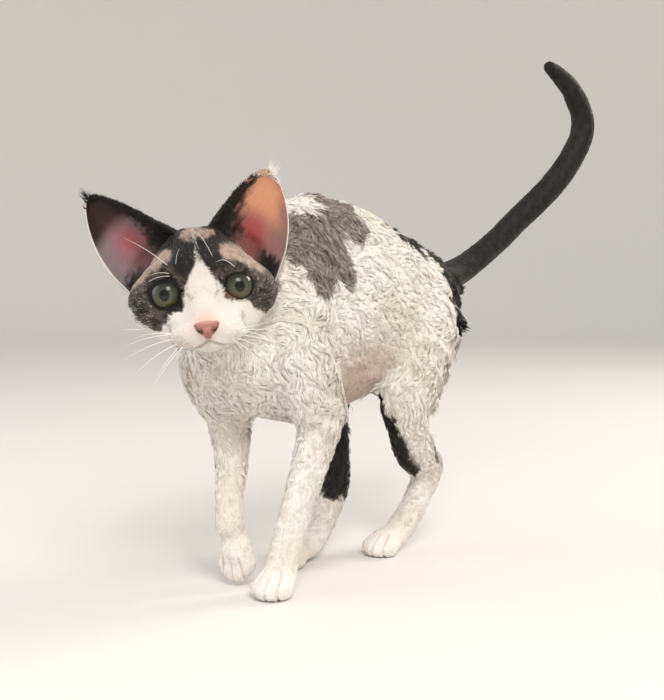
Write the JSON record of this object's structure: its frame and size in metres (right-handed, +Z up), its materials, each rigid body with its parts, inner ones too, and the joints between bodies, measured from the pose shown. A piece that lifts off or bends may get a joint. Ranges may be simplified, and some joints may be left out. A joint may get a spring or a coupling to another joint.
{
  "type": "devon rex cat",
  "caption": "Life-size still model of a young devon rex cat standing with its right forepaw lifted, head turned to its left and dark tail raised in a hook.",
  "frame": {"origin": "centre of the plan outline, on the floor under the cat", "axes": "+Y from the head towards the tail, +X to the cat's left, +Z up"},
  "size_m": [0.1154, 0.4532, 0.3632],
  "materials": {
    "white_coat": "short soft wavy fur, white with a warm cast, matte",
    "dark_coat": "short soft wavy fur, black, matte",
    "eye": "wet, glossy, grey-green iris",
    "nose_leather": "bare pink skin, softly moist"
  },
  "bodies": {
    "root": {"head": "white_coat", "neck": "white_coat", "torso": "white_coat", "shoulder_left": "white_coat", "shoulder_right": "white_coat", "forearm_left": "white_coat", "forearm_right": "white_coat", "forepaw_left": "white_coat", "forepaw_right": "white_coat", "thigh_left": "white_coat", "thigh_right": "white_coat", "shank_left": "white_coat", "shank_right": "dark_coat", "hindfoot_left": "white_coat", "hindfoot_right": "white_coat", "tail_base": "dark_coat", "tail_middle": "dark_coat", "tail_tip": "dark_coat", "ear_left": "dark_coat", "ear_right": "dark_coat", "eye_left": "eye", "eye_right": "eye", "nose": "nose_leather"}
  },
  "joints": []
}
